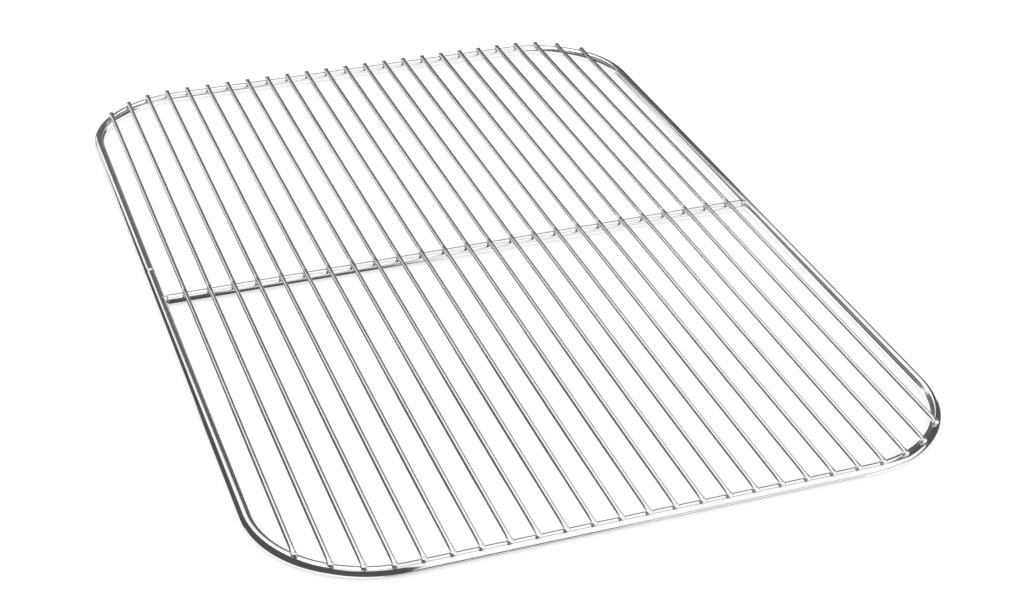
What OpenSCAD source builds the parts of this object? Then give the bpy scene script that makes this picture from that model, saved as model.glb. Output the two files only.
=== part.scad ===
// Flat welded wire rack on which bread and pastry cool.
// Millimetres: +X runs across the rack, +Y along its length, +Z up.
// The origin is on the surface that the rack lies on, below the middle of the frame.

/* [Frame] */
// Length of the rack, over the frame
rack_length = 600; // [500:5:700]
// Width of the rack, over the frame
rack_width = 400; // [360:5:450]
// Diameter of the frame's rod
frame_rod_d = 6; // [6:0.5:8]
// Bend radius of the corners, to the middle of the rod
corner_radius = 68; // [40:1:80]

/* [Frame's butt weld] */
// Distance of the weld from the middle of the left side, towards the rear
butt_weld_y = 40; // [20:5:120]
// Width of the ridge that the weld leaves round the rod
ridge_width = 2.4; // [1.6:0.2:4]
// Height of the ridge on the top and on the inside, where it isn't dressed flush
ridge_height = 0.25; // [0.15:0.05:0.4]

/* [Cross bar] */
// Diameter of the cross bar
cross_bar_d = 6; // [5:0.5:6]
// Distance of the cross bar from the middle of the rack, towards the rear
cross_bar_y = 4; // [-10:1:10]
// How far each end of the cross bar is pressed into the inside of the frame
cross_bar_sink = 0.8; // [0.4:0.1:1.2]

/* [Grid wires] */
// Number of grid wires, which lie a full pitch inside the frame's long sides
grid_wire_count = 25; // [19:1:29]
// Diameter of a grid wire
grid_wire_d = 2.8; // [2.4:0.1:3.4]
// How far a grid wire is pressed into the rod that it is welded to
grid_wire_sink = 0.4; // [0.2:0.1:0.6]
// How far each end of a grid wire reaches past the middle of the frame's rod
grid_wire_reach = 3; // [1:0.5:3]
// Chamfer round each end of a grid wire
end_chamfer = 0.4; // [0.2:0.1:0.6]

/* [Hidden] */
frame_r = frame_rod_d / 2;
cross_bar_r = cross_bar_d / 2;
grid_wire_r = grid_wire_d / 2;

// The loop that the middle of the frame's rod follows
side_x = rack_width / 2 - frame_r;
end_y = rack_length / 2 - frame_r;
straight_x = side_x - corner_radius;
straight_y = end_y - corner_radius;
// Each corner of the loop: its side across, its side along, and the angle at which its arc starts
CORNERS = [[1, 1, 0], [-1, 1, 90], [-1, -1, 180], [1, -1, 270]];

// The cross bar's top is level with the frame's, so that the grid wires lie flat on both
cross_bar_z = frame_rod_d - cross_bar_r;
cross_bar_half = side_x - frame_r + cross_bar_sink;

grid_pitch = 2 * side_x / (grid_wire_count + 1);
grid_wire_z = frame_rod_d + grid_wire_r - grid_wire_sink;

// The weld's ridge is moved up and inwards by its own height, which leaves it flush
// below and outside, where the rack slides and rests
ridge_top_r = frame_r + ridge_height;
ridge_foot_r = frame_r - ridge_height;

ROD_FACETS = 64;
WIRE_FACETS = 48;
BEND_FACETS = 144;
STEEL = [0.80, 0.81, 0.83];

function two_digits(i) = str(i < 10 ? "0" : "", i);
function wire_name(i) = str("grid_wire_", two_digits(i));
// Place of a grid wire across the rack, counted from 1 at the left
function wire_x(i) = grid_pitch * i - side_x;
// How far the middle of the frame's rod lies from the rack's middle, along the line at x
function loop_y(x) =
    abs(x) <= straight_x
        ? end_y
        : straight_y + sqrt(pow(corner_radius, 2) - pow(abs(x) - straight_x, 2));
function wire_half(x) = loop_y(x) + grid_wire_reach;

// A straight rod along Y, with its middle at the origin
module rod_along_y(r, length, facets) {
    rotate([90, 0, 0])
        linear_extrude(height = length, center = true)
            circle(r, $fn = facets);
}

// The frame's rod: four straights and four quarter bends
module frame_loop() {
    translate([0, 0, frame_r]) {
        for (side = [-1, 1]) {
            translate([side * side_x, 0, 0])
                rod_along_y(frame_r, 2 * straight_y, ROD_FACETS);
            translate([0, side * end_y, 0])
                rotate([0, 0, 90])
                    rod_along_y(frame_r, 2 * straight_x, ROD_FACETS);
        }
        for (c = CORNERS)
            translate([c[0] * straight_x, c[1] * straight_y, 0])
                rotate([0, 0, c[2]])
                    rotate_extrude(angle = 90, $fn = BEND_FACETS)
                        translate([corner_radius, 0])
                            circle(frame_r, $fn = ROD_FACETS);
    }
}

// The low ridge that is left where the two ends of the frame's rod were butt welded
module butt_weld_ridge() {
    translate([ridge_height - side_x, butt_weld_y, frame_r + ridge_height])
        rotate([90, 0, 0])
            rotate_extrude($fn = ROD_FACETS)
                polygon([
                    [0, -ridge_width / 2],
                    [ridge_foot_r, -ridge_width / 2],
                    [ridge_top_r, -ridge_width / 6],
                    [ridge_top_r, ridge_width / 6],
                    [ridge_foot_r, ridge_width / 2],
                    [0, ridge_width / 2]
                ]);
}

module cross_bar_rod() {
    translate([0, cross_bar_y, cross_bar_z])
        rotate([0, 0, 90])
            rod_along_y(cross_bar_r, 2 * cross_bar_half, ROD_FACETS);
}

// A grid wire before it is welded down: round, straight and chamfered at both ends
module plain_wire(half) {
    rotate([90, 0, 0])
        rotate_extrude($fn = WIRE_FACETS)
            polygon([
                [0, -half],
                [grid_wire_r - end_chamfer, -half],
                [grid_wire_r, end_chamfer - half],
                [grid_wire_r, half - end_chamfer],
                [grid_wire_r - end_chamfer, half],
                [0, half]
            ]);
}

module frame_ring() {
    color(STEEL)
        union() {
            frame_loop();
            butt_weld_ridge();
        }
}

// The bar meets the inside of the frame in a shallow hollow at each end
module cross_bar() {
    color(STEEL)
        difference() {
            cross_bar_rod();
            frame_loop();
        }
}

// Each wire sits in three shallow saddles: on the frame at both ends and on the cross bar
module grid_wire(i) {
    x = wire_x(i);
    color(STEEL)
        difference() {
            translate([x, 0, grid_wire_z])
                plain_wire(wire_half(x));
            frame_loop();
            cross_bar_rod();
        }
}

frame_ring();
cross_bar();
for (i = [1:grid_wire_count])
    grid_wire(i);
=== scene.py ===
"""A bakery cooling rack of welded stainless rod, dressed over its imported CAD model.

Every rod is a round section carried along its own path: the frame ring round a rounded oblong, the cross
bar straight across it, and 25 grid wires along it. Beads of weld flash stand round each contact. Lengths are
metres. Directions: X across the rack, Y along its wires from the near end to the far end, Z up from what it
rests on.
"""

import bpy
import numpy as np
from mathutils import Matrix, Vector


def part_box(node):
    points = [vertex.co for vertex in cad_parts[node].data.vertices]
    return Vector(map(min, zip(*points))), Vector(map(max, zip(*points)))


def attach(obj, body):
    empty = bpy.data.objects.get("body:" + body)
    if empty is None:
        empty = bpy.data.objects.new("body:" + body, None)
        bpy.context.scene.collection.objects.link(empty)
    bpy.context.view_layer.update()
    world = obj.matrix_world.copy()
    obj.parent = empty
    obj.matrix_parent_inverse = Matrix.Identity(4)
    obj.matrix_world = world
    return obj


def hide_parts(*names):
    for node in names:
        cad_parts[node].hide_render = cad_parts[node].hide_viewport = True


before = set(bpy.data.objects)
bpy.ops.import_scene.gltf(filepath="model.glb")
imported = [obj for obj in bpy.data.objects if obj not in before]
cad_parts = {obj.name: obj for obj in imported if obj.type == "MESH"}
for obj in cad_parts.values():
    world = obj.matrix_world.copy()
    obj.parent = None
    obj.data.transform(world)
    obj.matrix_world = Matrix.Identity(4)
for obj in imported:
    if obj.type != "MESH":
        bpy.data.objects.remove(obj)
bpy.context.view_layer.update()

MM = 0.001
UP = np.array([0.0, 0.0, 1.0])

# ---------------------------------------------------------------- sizes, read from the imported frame

ring_low, ring_high = (np.array(corner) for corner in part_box("frame_ring"))
bar_low, bar_high = (np.array(corner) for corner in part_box("cross_bar"))
WIRES = sorted(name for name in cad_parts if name.startswith("grid_wire_"))
wire_boxes = np.array([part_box(name) for name in WIRES])  # wire, lowest or highest corner, axis

ROD_R = (bar_high[2] - bar_low[2]) / 2  # frame and cross bar
WIRE_R = (wire_boxes[0, 1, 0] - wire_boxes[0, 0, 0]) / 2
SIDE_X = ring_high[0] - ROD_R  # middle of the frame rod, from the middle of the rack
END_Y = ring_high[1] - ROD_R
BAR_Y = (bar_high[1] + bar_low[1]) / 2
BAR_HALF = bar_high[0]
WIRE_X = wire_boxes[:, :, 0].mean(axis=1)
WIRE_HALF = wire_boxes[:, 1, 1]
WIRE_Z = wire_boxes[:, :, 2].mean()
REACH = WIRE_HALF.max() - END_Y  # how far a wire runs past the middle of the frame rod
SINK = 2 * ROD_R - (WIRE_Z - WIRE_R)  # how deep a weld sets the wire into the rod

# The outermost wire ends on the corner bend, and that fixes the bend's radius: a circle that touches both
# sides and passes a from the one and b from the other has radius a + b + sqrt(2 a b).
off_side, off_end = SIDE_X - abs(WIRE_X[0]), END_Y - (WIRE_HALF[0] - REACH)
BEND_R = off_side + off_end + np.sqrt(2 * off_side * off_end)

ring_points = np.array([v.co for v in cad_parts["frame_ring"].data.vertices])
proud = ring_points[ring_points[:, 2] > 2 * ROD_R + 0.02 * MM]
BUTT_Y = proud[:, 1].mean()  # the frame's butt weld, on the left side
BUTT_WIDTH = np.ptp(proud[:, 1]) * 1.6
BUTT_RISE = ring_high[2] - 2 * ROD_R

# ---------------------------------------------------------------- sizes of the fine detail

ROD_SIDES = 48
WIRE_SIDES = 28

# The butt weld. Lengths along the rod are shares of BUTT_WIDTH and heights are shares of BUTT_RISE.
BUTT_SKEW = 0.28  # how far the crest leans along the rod, from its middle line to its side
CREST_HALF, CREST_RISE = 0.34, 0.42
GROOVE_AT, GROOVE_HALF = 0.66, 0.13
GROOVE_SHARE = 0.3  # its depth, as a share of the crest
LIFT_HALF, LIFT_RISE = 0.8, 0.49  # the whole rod's shift there, up and inwards
BEND_PINCH = 0.010  # share of the radius that the rod's sides lose on the bends
PINCH_RUN = 8  # the pinch is full once the rod has turned in by this share of the bend: 1/8

WELD_HALF = 3.2 * MM  # half the length of wire that a weld's electrode flattens
WELD_FLAT = 0.16 * MM  # how much lower the wire's top is there
WELD_SPREAD = 0.07 * MM  # and how much wider its sides are
WELD_SQUARE = 0.9  # and how much squarer its upper half is
WELD_DIP = 0.10 * MM  # how far the whole wire is drawn down at a weld
DIP_HALF = 2.6 * WELD_HALF
TIP_SWELL = 0.22  # a tumbled end swells by this share
SWELL_AT, SWELL_HALF = 0.7 * MM, 1.56 * MM  # from the end
TIP_ROUND = 1.4 * MM  # then it rounds off
TIP_LEAST = 0.004  # share of that rounding left off, so that the last ring isn't a point
TIP_SQUARE, TIP_PAD = 2.4, 2.2 * MM  # its upper half is squarer yet, over this length
BOW = 0.10 * MM  # how far a wire bows sideways, at random

FLASH_R = 0.34 * MM  # bead of metal squeezed out round a contact
BAR_FLASH = 1.35  # how much thicker it is on the cross bar
COLLAR_R = 0.50 * MM  # thicker bead where the cross bar meets the frame
BAR_NECK = 1.7 * MM  # neck of weld metal at each end of the cross bar, part of it inside the frame rod
BAR_RIM = 0.9 * MM  # rounding of the cross bar's sheared rim
COLLAR_SEAT = 0.6  # share of that rounding at which the bead sits

# How far the heat tint reaches from a weld
HEAT_ON_FRAME, HEAT_AT_BUTT, HEAT_ON_BAR, HEAT_AT_BAR_END, HEAT_ON_WIRE = np.array([4.5, 5, 3, 1.6, 4]) * MM

rng = np.random.default_rng(41)


# ---------------------------------------------------------------- paths


def ring_path(travel):
    """Middle of the frame rod after going `travel` round it, anticlockwise from the middle of the near side.

    A rounded oblong is a smaller oblong plus the bend radius times the outward direction: the small oblong's
    point moves only on the straights and the direction turns only on the bends, both evenly with the distance
    gone. Returns the points and the outward directions.
    """
    half_x, half_y, quarter = SIDE_X - BEND_R, END_Y - BEND_R, BEND_R * np.pi / 2
    runs = [half_x, quarter, 2 * half_y, quarter, 2 * half_x, quarter, 2 * half_y, quarter, half_x]
    knots = np.concatenate([[0], np.cumsum(runs)])
    inner_x = np.interp(travel, knots, half_x * np.array([0, 1, 1, 1, 1, -1, -1, -1, -1, 0]))
    inner_y = np.interp(travel, knots, half_y * np.array([-1, -1, -1, 1, 1, 1, 1, -1, -1, -1]))
    turn = np.interp(travel, knots, np.pi / 2 * np.array([-1, -1, 0, 0, 1, 1, 2, 2, 3, 3]))
    outward = np.stack([np.cos(turn), np.sin(turn), 0 * turn], axis=-1)
    point = np.stack([inner_x, inner_y, 0 * inner_x + ROD_R], axis=-1) + BEND_R * outward
    return point, outward


def ring_length():
    """Length of the frame rod round its middle: four straights and a full circle of bends."""
    return 4 * (SIDE_X - BEND_R) + 4 * (END_Y - BEND_R) + 2 * np.pi * BEND_R


def on_ring(x, end):
    """Where the wire at x crosses the middle of the frame rod, at the near end (-1) or the far end (+1).

    On a bend the height is that of a circle over x. Returns the points and the rod's sideways directions.
    """
    past = np.clip(np.abs(x) - (SIDE_X - BEND_R), 0, None)
    rise = np.sqrt(BEND_R**2 - past**2)
    spot = np.stack([x, end * (END_Y - BEND_R + rise)], axis=-1)
    return spot, np.stack([np.sign(x) * past, end * rise], axis=-1) / BEND_R


def bell(distance, half_width):
    """A smooth bump of height 1 that has fallen to 1/e at half_width."""
    return np.exp(-((distance / half_width) ** 2))


def stations(start, stop, step, crowded, spread, fine):
    """Distances from start to stop, `step` apart, with more of them, `fine` apart, within `spread` of each
    crowded place."""
    places = [np.linspace(start, stop, max(2, int(round((stop - start) / step)) + 1))]
    places += [np.arange(c - spread, c + spread, fine) for c in crowded]
    found = np.unique(np.round(np.concatenate(places), 7))
    return found[(found >= start) & (found <= stop)]


# ---------------------------------------------------------------- meshes


def shell(name, points, finish, joined=False, heat=0.0, stands_for=None):
    """Makes a piece of one or more tubes. `points` is tube x ring x place on the ring x axis.

    Neighbouring rings are joined by quads, whose fronts face out when each ring starts on the right of the
    travel and goes up. A joined tube's last ring meets its first one; any other tube gets a small face over
    each end. The map `along_around` holds metres along the tube and the share of a turn round it, and the
    attribute `heat` how near to a weld each point is, from 0 to 1.
    """
    tubes, rings, places, _ = points.shape
    spans = rings if joined else rings - 1
    t, i, j = np.meshgrid(np.arange(tubes), np.arange(spans), np.arange(places), indexing="ij")
    ahead, beside = (i + 1) % rings, (j + 1) % places

    def index(ring, place):
        return (t * rings + ring) * places + place

    quads = np.stack([index(i, j), index(ahead, j), index(ahead, beside), index(i, beside)], axis=-1)
    middle = points.mean(axis=2)
    step = np.linalg.norm(np.roll(middle, -1, axis=1) - middle, axis=2)
    along = np.concatenate([np.zeros((tubes, 1)), np.cumsum(step, axis=1)], axis=1)
    corners_u = np.stack([along[t, i], along[t, i + 1], along[t, i + 1], along[t, i]], axis=-1)
    corners_v = np.stack([j, j, j + 1, j + 1], axis=-1) / places
    uv = np.stack([corners_u, corners_v], axis=-1).reshape(-1, 2)
    faces = quads.reshape(-1, 4).tolist()
    if not joined:
        lids = np.arange(tubes * rings * places).reshape(tubes, rings, places)
        faces += lids[:, 0].tolist() + lids[:, -1, ::-1].tolist()
        lid_u = np.repeat(np.concatenate([along[:, 0], along[:, rings - 1]]), places)
        turn = np.arange(places) / places
        lid_v = np.concatenate([np.tile(turn, tubes), np.tile(turn[::-1], tubes)])
        uv = np.concatenate([uv, np.stack([lid_u, lid_v], axis=-1)])

    mesh = bpy.data.meshes.new(name)
    mesh.from_pydata(points.reshape(-1, 3), [], faces)
    mesh.uv_layers.new(name="along_around").data.foreach_set("uv", uv.astype(np.float32).ravel())
    nearness = np.broadcast_to(heat, points.shape[:3]).astype(np.float32)
    mesh.attributes.new("heat", "FLOAT", "POINT").data.foreach_set("value", nearness.ravel())
    mesh.shade_smooth()
    mesh.materials.append(finish)
    piece = bpy.data.objects.new(name, mesh)
    bpy.context.scene.collection.objects.link(piece)
    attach(piece, "root")
    if stands_for:
        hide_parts(stands_for)
    return piece


def swept(path, right, section):
    """Carries a section along a path: each ring is the path's point, plus the section's sideways offset to
    the right of the travel, plus its upward offset. path and right are ring x axis, and section is ring x
    place x (side, up)."""
    return path[:, None, :] + section[..., :1] * right[:, None, :] + section[..., 1:] * UP


def round_section(side, top, bottom, places, squared=0.0):
    """Section of a rod that may be squashed: its upper and lower halves have their own heights. The lower
    half is an ellipse, and the upper one a superellipse of power 2 + squared, which is the flatter on top the
    higher its power."""
    turn = 2 * np.pi * np.arange(places) / places
    across, rise = np.cos(turn)[None, :], np.sin(turn)[None, :]
    upper = rise > 1e-9
    power = np.where(upper, 2 / (2 + np.reshape(squared, (-1, 1))), 1.0)
    height = np.where(upper, top[:, None], bottom[:, None])
    wide = np.sign(across) * np.abs(across) ** power
    return np.stack([side[:, None] * wide, height * np.sign(rise) * np.abs(rise) ** power], axis=-1)


def frame_ring(finish):
    """The frame: one rod, bent to a rounded oblong and closed by a butt weld.

    The rod's sides flatten a little on the bends. The butt weld is a crest with a groove at each side, all
    bells on the radius, set askew by a cosine of the turn round the rod. There the section also moves up and
    inwards, so that the weld stays flush below and outside.
    """
    length = ring_length()
    butt = length - (SIDE_X - BEND_R) - BEND_R * np.pi / 2 - (END_Y - BEND_R + BUTT_Y)
    travel = stations(0, length, 2.2 * MM, crowded=[butt], spread=6 * MM, fine=0.12 * MM)[:-1]
    path, outward = ring_path(travel)
    off = travel - butt
    skewed = off[:, None] + BUTT_WIDTH * BUTT_SKEW * np.cos(2 * np.pi * np.arange(ROD_SIDES) / ROD_SIDES)
    groove = bell(np.abs(skewed) - BUTT_WIDTH * GROOVE_AT, BUTT_WIDTH * GROOVE_HALF)
    ridge = bell(skewed, BUTT_WIDTH * CREST_HALF) - GROOVE_SHARE * groove
    moved = LIFT_RISE * BUTT_RISE * bell(off, BUTT_WIDTH * LIFT_HALF)
    inset = np.minimum(SIDE_X - np.abs(path[:, 0]), END_Y - np.abs(path[:, 1]))
    pinch = ROD_R * BEND_PINCH * np.clip(inset / BEND_R * PINCH_RUN, 0, 1)
    section = round_section(ROD_R - pinch, ROD_R + 0 * pinch, ROD_R + 0 * pinch, ROD_SIDES)
    section *= (1 + CREST_RISE * BUTT_RISE / ROD_R * ridge)[..., None]
    path[:, 2] += moved
    path -= outward * (moved - pinch)[:, None]
    points = swept(path, outward, section)[None]
    near, _ = on_ring(WIRE_X, -1)
    far, _ = on_ring(WIRE_X, 1)
    ends = np.array([[-SIDE_X, BAR_Y], [SIDE_X, BAR_Y]])
    spots = np.concatenate([near, far, ends])
    gap = np.linalg.norm(points[0, :, :, None, :2] - spots, axis=-1).min(axis=-1)
    heat = np.maximum(bell(gap, HEAT_ON_FRAME), bell(off, HEAT_AT_BUTT)[:, None])[None]
    return shell(
        "frame_ring_rod", points, finish, joined=True, heat=heat, stands_for="frame_ring"
    )


def cross_bar(finish):
    """The cross bar: a straight rod, sheared off just short of the frame rod, with a thinner neck of weld
    metal in the gap. From the end inwards the radius is the neck's, and then a quarter circle takes it up to
    the rod's own."""
    x = stations(
        -BAR_HALF,
        BAR_HALF,
        3 * MM,
        crowded=[-BAR_HALF, BAR_HALF, *WIRE_X],
        spread=2.4 * MM,
        fine=0.15 * MM,
    )
    inward = BAR_HALF - np.abs(x)
    short_of_rim = np.clip(1 - (inward - BAR_NECK) / BAR_RIM, 0, 1)
    radius = ROD_R - BAR_RIM * (1 - np.sqrt(1 - short_of_rim**2))
    path = np.stack([x, 0 * x + BAR_Y, 0 * x + ROD_R], axis=-1)
    right = np.broadcast_to([0.0, -1.0, 0.0], path.shape)
    points = swept(path, right, round_section(radius, radius, radius, ROD_SIDES))[None]
    gap = np.abs(x[:, None] - WIRE_X).min(axis=1)
    top = np.clip((points[0, :, :, 2] - ROD_R) / ROD_R, 0, 1)
    heat = np.maximum(bell(gap, HEAT_ON_BAR)[:, None] * top, bell(inward, HEAT_AT_BAR_END)[:, None])[None]
    return shell("cross_bar_rod", points, finish, heat=heat, stands_for="cross_bar")


def grid_wire(number, finish):
    """One grid wire, straight along Y but for a slight bow, which is half a wave of a cosine. Three welds
    draw it down a little, flatten its top and spread its sides. Each end swells and rounds off to a tumbled
    tip, over a quarter of an ellipse."""
    name, x, half = WIRES[number], WIRE_X[number], WIRE_HALF[number]
    welds = np.array([-(half - REACH), BAR_Y, half - REACH])
    y = stations(-half, half, 6 * MM, crowded=[-half, *welds, half], spread=5 * MM, fine=0.3 * MM)
    tip = half - TIP_ROUND * np.linspace(0, 1, 9) ** 2
    y = np.unique(np.round(np.concatenate([y, -tip, tip]), 7))
    at_weld = bell(y[:, None] - welds, WELD_HALF).max(axis=1)
    dip = bell(y[:, None] - welds, DIP_HALF).max(axis=1) * WELD_DIP
    inward = np.abs(np.abs(y) - half)
    swell = bell(inward - SWELL_AT, SWELL_HALF) * TIP_SWELL * rng.uniform(0.7, 1.15)
    rim = np.sqrt(1 - (1 - np.clip(inward / TIP_ROUND, TIP_LEAST, 1)) ** 2)
    side = (WIRE_R * (1 + swell) + WELD_SPREAD * at_weld) * rim
    top = (WIRE_R - WELD_FLAT * at_weld) * rim
    bottom = WIRE_R * (1 + 0.7 * swell) * rim
    squared = WELD_SQUARE * at_weld + TIP_SQUARE * bell(inward, TIP_PAD)
    bow = rng.normal(0, BOW) * np.cos(np.pi * y / (2 * half))
    path = np.stack([x + bow, y, WIRE_Z - dip], axis=-1)
    right = np.broadcast_to([1.0, 0.0, 0.0], path.shape)
    points = swept(path, right, round_section(side, top, bottom, WIRE_SIDES, squared))[None]
    low = np.clip(0.7 - (points[0, :, :, 2] - WIRE_Z) / WIRE_R, 0, 1)
    heat = (bell(y[:, None] - welds, HEAT_ON_WIRE).max(axis=1)[:, None] * (0.3 + 0.7 * low))[None]
    return shell(f"{name}_rod", points, finish, heat=heat, stands_for=name)


def flash_beads(name, spots, sideways, tip, bead, finish):
    """Beads of flash round the contacts between wires and a rod, as one piece of small closed rings.

    Round a contact, the bead follows the line where the wire's underside meets the rod's top: at distance d
    from the middle in plan, the wire's side has risen by r - sqrt(r^2 - across^2) and the rod's top has
    fallen by R - sqrt(R^2 - along^2), and the two sum to the depth the weld sank. d is found by scaling a
    guess a few times. The bead's own radius, `bead`, swells at random round the ring, most at the wire's two
    sides. It is thinnest towards the wire's tip: the low end of Y (-1), the high end (+1) or neither (0).
    """
    count, rings, places = len(spots), 18, 6
    side_swell, tip_loss, spread, stand_off, lift = 0.35, 0.7, 0.16, 0.12 * MM, 0.02 * MM
    turn = 2 * np.pi * np.arange(rings) / rings
    plan = np.stack([np.cos(turn), np.sin(turn)], axis=-1)
    across = plan[None, :, 0]
    along = np.einsum("rk,ck->cr", plan, sideways)
    reach = np.full((count, rings), 1.1 * MM)
    for _ in range(6):
        limit = 0.9 * WIRE_R
        risen = WIRE_R - np.sqrt(WIRE_R**2 - np.clip(reach * across, -limit, limit) ** 2)
        fallen = ROD_R - np.sqrt(ROD_R**2 - (reach * along) ** 2)
        reach = reach * np.sqrt((SINK + WELD_DIP) / (risen + fallen))
    drop = ROD_R - np.sqrt(ROD_R**2 - (reach * along) ** 2)
    reach = reach + stand_off
    height = (2 * ROD_R - drop + lift)[..., None]
    middle = np.concatenate([spots[:, None, :] + reach[..., None] * plan, height], axis=-1)
    uneven = 1 + side_swell * np.abs(across) - tip_loss * tip * plan[None, :, 1]
    uneven = uneven + rng.normal(0, spread, (count, rings))
    uneven = (uneven + np.roll(uneven, 1, axis=1)) / 2
    radius = bead * uneven[..., None] * rng.uniform(0.8, 1.25, (count, 1, 1))
    angle = 2 * np.pi * np.arange(places) / places
    out = np.concatenate([plan, np.zeros((rings, 1))], axis=1)[None, :, None, :]
    round_bead = np.cos(angle)[:, None] * out + np.sin(angle)[:, None] * UP
    points = middle[:, :, None, :] + radius[..., None] * round_bead
    return shell(name, points, finish, joined=True, heat=1.0)


def bar_collar(name, side, finish):
    """The bead round the neck at one end of the cross bar. It follows the line where the neck meets the
    frame rod: at height h on the neck, the rod's surface stands back by R - sqrt(R^2 - h^2) from its
    innermost line, and the bead follows it back no further than `deepest`. Two sines of the turn make the
    bead uneven."""
    rings, places, deepest = 56, 12, 1.5 * MM
    turn = 2 * np.pi * np.arange(rings) / rings
    neck = ROD_R - COLLAR_SEAT * BAR_RIM
    high = neck * np.sin(turn)
    back = ROD_R - np.sqrt(np.clip(ROD_R**2 - high**2, 0, None))
    inner = SIDE_X - ROD_R + np.minimum(back, deepest)
    swell = 1 + 0.22 * np.sin(3 * turn + 1.3 * side) + 0.12 * np.sin(7 * turn + 0.4)
    radius = (COLLAR_R * swell * (0.85 + 0.15 * np.sin(turn)))[:, None]
    outward = np.stack([0 * turn, np.cos(turn), np.sin(turn)], axis=-1)
    middle = np.stack([side * inner, BAR_Y + neck * np.cos(turn), ROD_R + high], axis=-1)
    angle = 2 * np.pi * np.arange(places) / places
    along_bar = np.array([side, 0.0, 0.0])
    round_bead = np.cos(angle)[None, :, None] * outward[:, None, :] - np.sin(angle)[None, :, None] * along_bar
    points = middle[:, None, :] + radius[..., None] * round_bead
    points[..., 2] = np.clip(points[..., 2], 0.02 * MM, None)
    if side > 0:
        points = points[:, ::-1]
    return shell(name, points[None], finish, joined=True, heat=1.0)


# ---------------------------------------------------------------- finishes


class Signal:
    """A shader socket that works in Python expressions: each operator adds the Math node that does it."""

    def __init__(self, tree, socket=None):
        self.tree, self.socket = tree, socket

    def node(self, kind, settings, sockets, output=0):
        """Adds a node. Its settings come first (a ramp's stops among them), then its sockets' values or
        links."""
        made = self.tree.nodes.new(kind)
        for key, value in settings.items():
            if key == "stops":
                while len(made.color_ramp.elements) < len(value):
                    made.color_ramp.elements.new(0.5)
                for stop, (place, shade) in zip(made.color_ramp.elements, value):
                    stop.position, stop.color = place, (*shade, 1)
            else:
                setattr(made, key, value)
        for key, value in sockets.items():
            if isinstance(value, Signal):
                self.tree.links.new(value.socket, made.inputs[key])
            else:
                made.inputs[key].default_value = value
        return Signal(self.tree, made.outputs[output] if made.outputs else None)

    def math(self, operation, *values, clamp=False):
        settings = {"operation": operation, "use_clamp": clamp}
        return self.node("ShaderNodeMath", settings, dict(enumerate(values)))

    def __add__(self, other):
        return self.math("ADD", self, other)

    def __sub__(self, other):
        return self.math("SUBTRACT", self, other)

    def __rsub__(self, other):
        return self.math("SUBTRACT", other, self)

    def __mul__(self, other):
        return self.math("MULTIPLY", self, other)

    __radd__, __rmul__ = __add__, __mul__

    def __gt__(self, other):
        return self.math("GREATER_THAN", self, other)

    def sin(self):
        return self.math("SINE", self)

    def cos(self):
        return self.math("COSINE", self)

    def at_least(self, lowest):
        return self.math("MAXIMUM", self, lowest)

    def held(self):
        """The same, kept from 0 to 1."""
        return self.math("ADD", self, 0.0, clamp=True)

    def mix(self, first, second):
        """The first colour where this is 0 and the second where it is 1."""
        sockets = {"Factor": self, "A": first, "B": second}
        return self.node("ShaderNodeMix", {"data_type": "RGBA"}, sockets, output=2)


def new_material(name):
    """An empty material, and the Signal its nodes are added through."""
    material = bpy.data.materials.new(name)
    material.use_nodes = True
    material.node_tree.nodes.clear()
    return material, Signal(material.node_tree)


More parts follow.
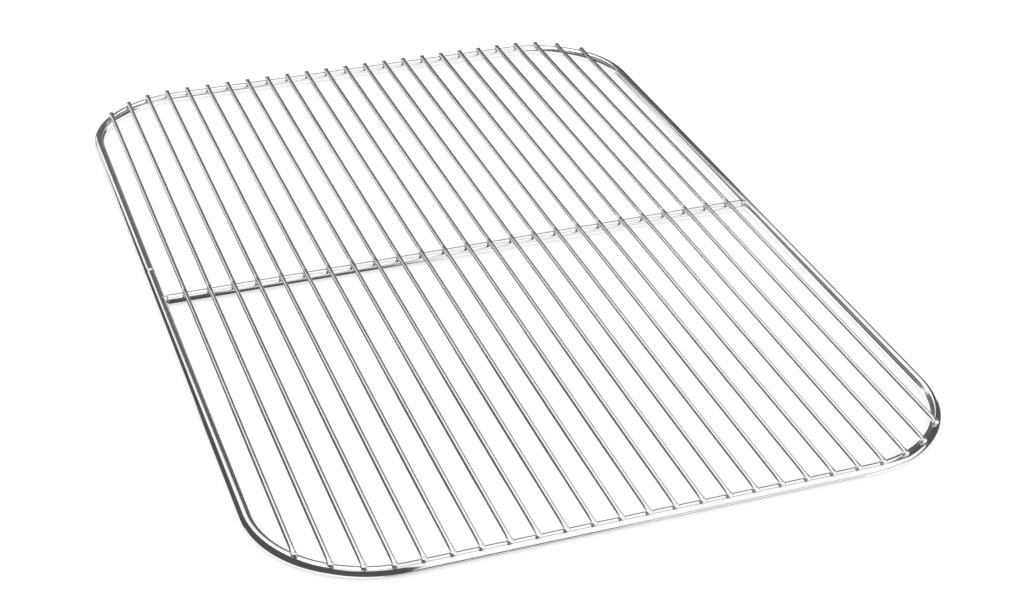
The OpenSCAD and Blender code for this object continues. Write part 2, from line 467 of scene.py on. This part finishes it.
def polished_steel(name, tone, roughness, radius):
    """Electropolished stainless rod of the given radius.

    Drawing lines run along the rod: noise on a cylinder of that radius, stretched along it. Over them lie a
    soft orange peel, slow drifts of tone, duller rub marks on the upper side, and the straw and grey tint of
    heat by the welds.
    """
    material, start = new_material(name)
    place = start.node("ShaderNodeUVMap", {"uv_map": "along_around"}, {})
    along = start.node("ShaderNodeSeparateXYZ", {}, {0: place})
    turn = start.node("ShaderNodeSeparateXYZ", {}, {0: place}, output=1) * (2 * np.pi)
    heat = start.node("ShaderNodeAttribute", {"attribute_name": "heat"}, {}, output="Fac")
    spot = start.node("ShaderNodeTexCoord", {}, {}, output="Object")

    def on_rod(around, lengthways):
        """A place on the rod in the noise's units: `around` per metre of skin, `lengthways` per metre of
        length."""
        across, rise = turn.cos() * (radius * around), turn.sin() * (radius * around)
        return start.node("ShaderNodeCombineXYZ", {}, {0: across, 1: rise, 2: along * lengthways})

    def noise(vector, scale, detail):
        return start.node("ShaderNodeTexNoise", {}, {"Vector": vector, "Scale": scale, "Detail": detail})

    lines = noise(on_rod(around=9000, lengthways=60), scale=1.0, detail=2.0)
    streaks = noise(on_rod(around=2500, lengthways=12), scale=1.0, detail=1.0)
    peel = noise(spot, scale=420.0, detail=1.0)
    drift = noise(spot, scale=22.0, detail=1.0)
    stain = noise(spot, scale=620.0, detail=3.0)
    upper = (turn.sin() * 2.2 - 1.1).held()
    specks = noise(on_rod(around=1500, lengthways=1400), scale=1.0, detail=3.0)
    scuffs = noise(on_rod(around=700, lengthways=5200), scale=1.0, detail=2.0)
    rubs = (specks > scuffs + 0.16) * upper

    scorched = (heat * stain * 1.7 - 0.22).held()
    dark_tone, light_tone = [c * 0.93 for c in tone], [c * 1.05 for c in tone]
    clean = start.node(
        "ShaderNodeValToRGB",
        {"stops": [(0.30, dark_tone), (0.52, tone), (0.75, light_tone)]},
        {"Fac": streaks * 0.6 + drift * 0.4},
    )
    colour = (scorched * 0.7).mix(clean, (0.38, 0.33, 0.29, 1.0))
    uneven = (lines - 0.5) * 0.04 + (drift - 0.5) * 0.06 + rubs * 0.08 + scorched * 0.22
    relief = lines * 0.03 + peel * 0.20 + heat * stain * 1.6
    bump = {"Strength": 0.35, "Distance": 0.00002, "Height": relief}
    shader = start.node(
        "ShaderNodeBsdfPrincipled",
        {},
        {
            "Base Color": colour,
            "Metallic": 1.0,
            "Roughness": (uneven + roughness).at_least(roughness * 0.6),
            "Normal": start.node("ShaderNodeBump", {}, bump),
        },
    )
    start.node("ShaderNodeOutputMaterial", {}, {"Surface": shader})
    return material


# ---------------------------------------------------------------- the rack

frame_finish = polished_steel("frame_polished_steel", (0.655, 0.65, 0.655), 0.10, ROD_R)
wire_finish = polished_steel("wire_polished_steel", (0.665, 0.66, 0.665), 0.16, WIRE_R)
flash_finish = polished_steel("weld_flash_steel", (0.64, 0.63, 0.62), 0.15, FLASH_R)

frame_ring(frame_finish)
cross_bar(frame_finish)
for number in range(len(WIRES)):
    grid_wire(number, wire_finish)
flash_beads("weld_flash_near", *on_ring(WIRE_X, -1), -1, FLASH_R, flash_finish)
flash_beads("weld_flash_far", *on_ring(WIRE_X, 1), 1, FLASH_R, flash_finish)
bar_spots = np.stack([WIRE_X, 0 * WIRE_X + BAR_Y], axis=-1)
bar_sideways = np.tile([0.0, 1.0], (len(WIRE_X), 1))
flash_beads("weld_flash_cross_bar", bar_spots, bar_sideways, 0, BAR_FLASH * FLASH_R, flash_finish)
bar_collar("weld_collar_left", -1, flash_finish)
bar_collar("weld_collar_right", 1, flash_finish)

# ---------------------------------------------------------------- studio

STUDIO_LIGHT = 1.5  # radiance of the white tent round the table


def panel(name, corners, material):
    """A flat studio panel with any number of corners."""
    mesh = bpy.data.meshes.new(name)
    mesh.from_pydata(corners, [], [list(range(len(corners)))])
    mesh.materials.append(material)
    made = bpy.data.objects.new(name, mesh)
    bpy.context.scene.collection.objects.link(made)
    return made


def white_table():
    """Matt white acrylic, lit from below as well as from above, so that shadows on it are pale."""
    material, start = new_material("white_table")
    acrylic = {
        "Base Color": (0.36, 0.36, 0.36, 1.0),
        "Roughness": 0.9,
        "Specular IOR Level": 0.0,
        "Emission Color": (1.0, 1.0, 1.0, 1.0),
        "Emission Strength": 0.58,
    }
    shader = start.node("ShaderNodeBsdfPrincipled", {}, acrylic)
    start.node("ShaderNodeOutputMaterial", {}, {"Surface": shader})
    return material


def flag_cloth(name, radiance):
    """The even, dim glow of a dark flag."""
    material, start = new_material(name)
    shader = start.node("ShaderNodeEmission", {}, {"Color": (1.0, 0.96, 0.98, 1.0), "Strength": radiance})
    start.node("ShaderNodeOutputMaterial", {}, {"Surface": shader})
    return material


TABLE_HALF = 9
table_corners = [(a * TABLE_HALF, b * TABLE_HALF, 0) for a, b in ((-1, -1), (1, -1), (1, 1), (-1, 1))]
floor = panel("table_top", table_corners, white_table())
floor.visible_glossy = False


def oblong(first, second):
    """Corners of an oblong flag, from its lowest and highest place in each of its two directions."""
    return [(first[0], second[0]), (first[1], second[0]), (first[1], second[1]), (first[0], second[1])]


# Dark flags draw the dark edges on the steel, and one strip just under the table is painted shade of the
# table. Only reflections see them. A flag lies flat on one plane:
# across an axis at a distance along it, with its corners given in the other two directions, in that order.
ACROSS_X, ACROSS_Y, ACROSS_Z = 0, 1, 2
DEEP, SOFT = 0.12, 0.19  # their radiance
REAR = 1.5
FOOT = -0.8  # most of them end this far below the table
REAR_LEFT = [(-0.50, FOOT), (0.18, FOOT), (0.18, 1.16), (-0.36, 0.96), (-0.36, 0.73), (-0.52, 0.57)]
REAR_MIDDLE = [(0.18, FOOT), (0.60, FOOT), (0.60, 1.13), (0.18, 1.15)]
REAR_RIGHT = [(0.60, FOOT), (1.32, FOOT), (1.32, 0.35), (1.05, 0.85), (0.60, 1.13)]
LEFT = [(-1.3, FOOT), (1.18, FOOT), (1.18, 0.59), (-1.3, 1.00)]
FAR_LEFT = [(-2.0, FOOT), (2.90, FOOT), (3.1, 0.4), (3.9, 1.3), (3.9, 2.5), (-2.0, 2.9)]
FRONT_LOW = [(-0.09, -0.40), (0.09, -0.34), (0.09, -0.13), (-0.09, -0.13)]
UNDER_BAR = [(-0.30, -0.115), (-0.03, -0.115), (0.02, 0.04), (-0.30, 0.04)]
FLAGS = {
    "flag_rear_left": (SOFT, ACROSS_Y, REAR, REAR_LEFT),
    "flag_rear_middle": (SOFT, ACROSS_Y, REAR, REAR_MIDDLE),
    "flag_rear_right": (DEEP, ACROSS_Y, REAR, REAR_RIGHT),
    "flag_left": (DEEP, ACROSS_X, -0.70, LEFT),
    "flag_far_left": (DEEP, ACROSS_X, -2.00, FAR_LEFT),
    "flag_far_left_back": (DEEP, ACROSS_X, -2.00, oblong((3.9, 6.0), (FOOT, 0.4))),
    "flag_right_strip": (DEEP, ACROSS_X, 0.70, oblong((-0.6, 1.45), (0.12, 0.76))),
    "flag_right": (DEEP, ACROSS_X, 1.80, oblong((-0.5, 0.9), (-2.0, 1.00))),
    "flag_front": (DEEP, ACROSS_Y, -0.45, oblong((-0.69, -0.09), (-0.42, 0.22))),
    "flag_front_low": (DEEP, ACROSS_Y, -0.45, FRONT_LOW),
    "flag_under_bar": (DEEP, ACROSS_Z, -0.10, UNDER_BAR),
    "flag_above": (SOFT, ACROSS_Z, 1.20, oblong((-2.0, 2.0), (-0.62, -0.42))),
    "flag_below_front": (DEEP, ACROSS_Z, FOOT, oblong((-2.0, 2.0), (-1.32, -0.98))),
    # A dark strip just under the table, beneath the near edge: painted shade. It stands in for the table's
    # shade under that rod, which the rod's lower edge reflects as a thin dark line.
    "painted_table_shade_under_near_edge": (DEEP, ACROSS_Z, -0.03, oblong((-0.14, 0.14), (-0.300, -0.283))),
}
for name, (radiance, axis, distance, corners) in FLAGS.items():
    flag_corners = np.insert(np.array(corners), axis, distance, axis=1).tolist()
    flag = panel(name, flag_corners, flag_cloth(name, radiance))
    flag.visible_camera = flag.visible_diffuse = flag.visible_shadow = flag.visible_transmission = False

scene = bpy.context.scene
scene.world = bpy.data.worlds.new("white_tent")
scene.world.use_nodes = True
tent = scene.world.node_tree.nodes["Background"]
tent.inputs["Color"].default_value = (1, 1, 1, 1)
tent.inputs["Strength"].default_value = STUDIO_LIGHT
scene.view_settings.view_transform = "Standard"

lamp_data = bpy.data.lights.new("overhead_softbox", "AREA")
lamp_data.shape, lamp_data.size, lamp_data.size_y, lamp_data.energy = "RECTANGLE", 1.6, 1.2, 6
lamp = bpy.data.objects.new("overhead_softbox", lamp_data)
lamp.location = (-0.5, 0.1, 1.6)
lamp.rotation_euler = (-lamp.location).to_track_quat("-Z", "Y").to_euler()
scene.collection.objects.link(lamp)

# ---------------------------------------------------------------- camera

LENS, SENSOR = 70.09, 36.0
CAMERA_AT = Vector((-0.3433, -1.0588, 0.6221))
CAMERA_FORWARD = Vector((0.2857, 0.8114, -0.5099)).normalized()
CAMERA_RIGHT = Vector((0.9438, -0.3306, 0.0027))

camera_data = bpy.data.cameras.new("camera")
camera_data.lens, camera_data.sensor_width = LENS, SENSOR
camera_data.clip_start, camera_data.clip_end = 0.02, 60
camera = bpy.data.objects.new("camera", camera_data)
right = (CAMERA_RIGHT - CAMERA_RIGHT.dot(CAMERA_FORWARD) * CAMERA_FORWARD).normalized()
up = right.cross(CAMERA_FORWARD)
turned = Matrix((right, up, -CAMERA_FORWARD)).transposed().to_4x4()
camera.matrix_world = Matrix.Translation(CAMERA_AT) @ turned
scene.collection.objects.link(camera)
scene.camera = camera
